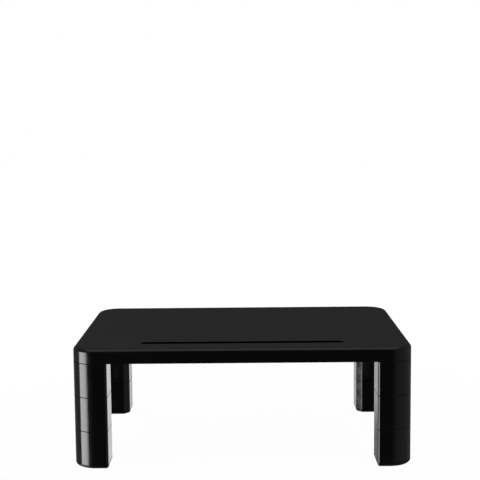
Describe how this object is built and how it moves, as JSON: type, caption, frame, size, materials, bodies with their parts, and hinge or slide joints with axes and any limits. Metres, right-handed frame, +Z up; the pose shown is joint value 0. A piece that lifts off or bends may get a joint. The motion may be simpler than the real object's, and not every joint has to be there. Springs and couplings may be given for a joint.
{
  "type": "monitor riser",
  "caption": "Black plastic monitor riser: a rounded platform with a slot for a phone or tablet, on stackable plug-in legs that set its height.",
  "frame": {"origin": "on the desk, under the middle of the platform", "axes": "+X to the user's right along the long side, +Y away from the user, +Z up"},
  "size_m": [0.37, 0.235, 0.132],
  "materials": {
    "platform_plastic": "black, fine-grained top with glossy edges",
    "leg_plastic": "black, glossy moulded sides",
    "foot_plastic": "black, satin",
    "pad_rubber": "matt black rubber"
  },
  "bodies": {
    "platform": {"platform": "platform_plastic"},
    "back_right_upper_leg": {"back_right_upper_section": "leg_plastic"},
    "back_right_middle_leg": {"back_right_middle_section": "leg_plastic"},
    "back_right_lower_leg": {"back_right_lower_section": "leg_plastic"},
    "back_right_foot_cap": {"back_right_foot": "foot_plastic", "back_right_pad": "pad_rubber"},
    "back_left_upper_leg": {"back_left_upper_section": "leg_plastic"},
    "back_left_middle_leg": {"back_left_middle_section": "leg_plastic"},
    "back_left_lower_leg": {"back_left_lower_section": "leg_plastic"},
    "back_left_foot_cap": {"back_left_foot": "foot_plastic", "back_left_pad": "pad_rubber"},
    "front_left_upper_leg": {"front_left_upper_section": "leg_plastic"},
    "front_left_middle_leg": {"front_left_middle_section": "leg_plastic"},
    "front_left_lower_leg": {"front_left_lower_section": "leg_plastic"},
    "front_left_foot_cap": {"front_left_foot": "foot_plastic", "front_left_pad": "pad_rubber"},
    "front_right_upper_leg": {"front_right_upper_section": "leg_plastic"},
    "front_right_middle_leg": {"front_right_middle_section": "leg_plastic"},
    "front_right_lower_leg": {"front_right_lower_section": "leg_plastic"},
    "front_right_foot_cap": {"front_right_foot": "foot_plastic", "front_right_pad": "pad_rubber"}
  },
  "joints": [
    {"name": "back_right_upper_pull", "type": "slide", "parent": "platform", "child": "back_right_upper_leg", "axis": [0, 0, -1], "range_m": [0, 0.012]},
    {"name": "back_right_middle_pull", "type": "slide", "parent": "back_right_upper_leg", "child": "back_right_middle_leg", "axis": [0, 0, -1], "range_m": [0, 0.012]},
    {"name": "back_right_lower_pull", "type": "slide", "parent": "back_right_middle_leg", "child": "back_right_lower_leg", "axis": [0, 0, -1], "range_m": [0, 0.012]},
    {"name": "back_right_foot_pull", "type": "slide", "parent": "back_right_lower_leg", "child": "back_right_foot_cap", "axis": [0, 0, -1], "range_m": [0, 0.01]},
    {"name": "back_left_upper_pull", "type": "slide", "parent": "platform", "child": "back_left_upper_leg", "axis": [0, 0, -1], "range_m": [0, 0.012]},
    {"name": "back_left_middle_pull", "type": "slide", "parent": "back_left_upper_leg", "child": "back_left_middle_leg", "axis": [0, 0, -1], "range_m": [0, 0.012]},
    {"name": "back_left_lower_pull", "type": "slide", "parent": "back_left_middle_leg", "child": "back_left_lower_leg", "axis": [0, 0, -1], "range_m": [0, 0.012]},
    {"name": "back_left_foot_pull", "type": "slide", "parent": "back_left_lower_leg", "child": "back_left_foot_cap", "axis": [0, 0, -1], "range_m": [0, 0.01]},
    {"name": "front_left_upper_pull", "type": "slide", "parent": "platform", "child": "front_left_upper_leg", "axis": [0, 0, -1], "range_m": [0, 0.012]},
    {"name": "front_left_middle_pull", "type": "slide", "parent": "front_left_upper_leg", "child": "front_left_middle_leg", "axis": [0, 0, -1], "range_m": [0, 0.012]},
    {"name": "front_left_lower_pull", "type": "slide", "parent": "front_left_middle_leg", "child": "front_left_lower_leg", "axis": [0, 0, -1], "range_m": [0, 0.012]},
    {"name": "front_left_foot_pull", "type": "slide", "parent": "front_left_lower_leg", "child": "front_left_foot_cap", "axis": [0, 0, -1], "range_m": [0, 0.01]},
    {"name": "front_right_upper_pull", "type": "slide", "parent": "platform", "child": "front_right_upper_leg", "axis": [0, 0, -1], "range_m": [0, 0.012]},
    {"name": "front_right_middle_pull", "type": "slide", "parent": "front_right_upper_leg", "child": "front_right_middle_leg", "axis": [0, 0, -1], "range_m": [0, 0.012]},
    {"name": "front_right_lower_pull", "type": "slide", "parent": "front_right_middle_leg", "child": "front_right_lower_leg", "axis": [0, 0, -1], "range_m": [0, 0.012]},
    {"name": "front_right_foot_pull", "type": "slide", "parent": "front_right_lower_leg", "child": "front_right_foot_cap", "axis": [0, 0, -1], "range_m": [0, 0.01]}
  ]
}
